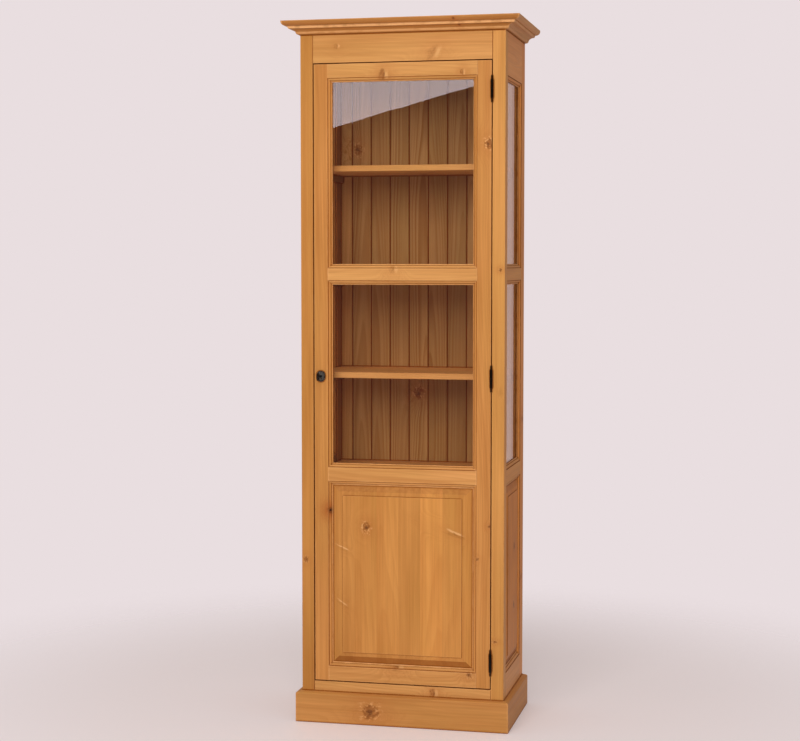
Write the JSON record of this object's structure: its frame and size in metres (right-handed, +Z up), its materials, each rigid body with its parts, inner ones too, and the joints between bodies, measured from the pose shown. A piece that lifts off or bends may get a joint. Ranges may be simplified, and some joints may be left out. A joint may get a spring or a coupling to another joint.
{
  "type": "display cabinet",
  "caption": "Tall slim display cabinet in pine: hinged door with glass lights over a raised panel, glazed sides, shelves, lock with key, moulded cornice and plinth.",
  "frame": {"origin": "on the floor, in the middle of the overall width and depth, cornice included", "axes": "+Z up, the door faces -Y, +X is the hinge side of the door"},
  "size_m": [0.678, 0.386, 2],
  "materials": {
    "pine_carcase": "honey-coloured wax over knotty pine, satin",
    "pine_door": "honey-coloured wax over knotty pine, satin",
    "pine_trim": "honey-coloured wax, darker in the hollows of the mouldings",
    "pine_inside": "waxed pine, dull satin",
    "glass": "clear float glass",
    "hinge_iron": "blackened, satin",
    "antiqued_iron": "antiqued dark grey with brighter worn edges",
    "lock_steel": "dulled steel"
  },
  "bodies": {
    "carcase": {"post_front_left": "pine_carcase", "post_front_right": "pine_carcase", "post_rear_left": "pine_carcase", "post_rear_right": "pine_carcase", "side_top_rail_left": "pine_carcase", "side_top_rail_right": "pine_carcase", "side_mid_rail_left": "pine_carcase", "side_mid_rail_right": "pine_carcase", "side_lock_rail_left": "pine_carcase", "side_lock_rail_right": "pine_carcase", "side_bottom_rail_left": "pine_carcase", "side_bottom_rail_right": "pine_carcase", "side_panel_left": "pine_carcase", "side_panel_right": "pine_carcase", "side_glass_upper_left": "glass", "side_glass_upper_right": "glass", "side_glass_lower_left": "glass", "side_glass_lower_right": "glass", "side_beads_left": "pine_carcase", "side_beads_right": "pine_carcase", "frieze_rail": "pine_carcase", "front_bottom_rail": "pine_carcase", "back_rail_top": "pine_inside", "back_rail_bottom": "pine_inside", "back_boards": "pine_inside", "top_board": "pine_carcase", "bottom_board": "pine_inside", "cornice_front": "pine_trim", "cornice_left": "pine_trim", "cornice_right": "pine_trim", "plinth_front": "pine_trim", "plinth_left": "pine_trim", "plinth_right": "pine_trim", "shelf_1": "pine_inside", "shelf_2": "pine_inside", "shelf_3": "pine_inside", "shelf_4": "pine_inside", "shelf_5": "pine_inside", "shelf_bearers": "pine_inside", "door_stop": "pine_inside", "hinge_frame_leaves": "hinge_iron", "strike_plate": "lock_steel"},
    "door": {"door_stile_lock": "pine_door", "door_stile_hinge": "pine_door", "door_top_rail": "pine_door", "door_mid_rail": "pine_door", "door_lock_rail": "pine_door", "door_bottom_rail": "pine_door", "door_glass_upper": "glass", "door_glass_lower": "glass", "door_panel": "pine_door", "door_beads": "pine_door", "hinge_door_leaves": "hinge_iron", "escutcheon": "antiqued_iron", "lock_case": "lock_steel"},
    "lock_bolt": {"lock_bolt": "lock_steel"},
    "key": {"key": "antiqued_iron"}
  },
  "joints": [
    {"name": "door_hinge", "type": "hinge", "parent": "carcase", "child": "door", "pos_m": [0.25675, -0.1528, 0.99875], "axis": [0, 0, 1], "range_deg": [0, 170]},
    {"name": "key_turn", "type": "hinge", "parent": "door", "child": "key", "pos_m": [-0.236, -0.148, 0.99875], "axis": [0, -1, 0], "range_deg": [0, 360]},
    {"name": "bolt_slide", "type": "slide", "parent": "door", "child": "lock_bolt", "axis": [-1, 0, 0], "range_m": [0, 0.008]}
  ],
  "couplings": [
    {"joint": "bolt_slide", "follows": "key_turn", "m_per_rad": 0.0012732}
  ]
}
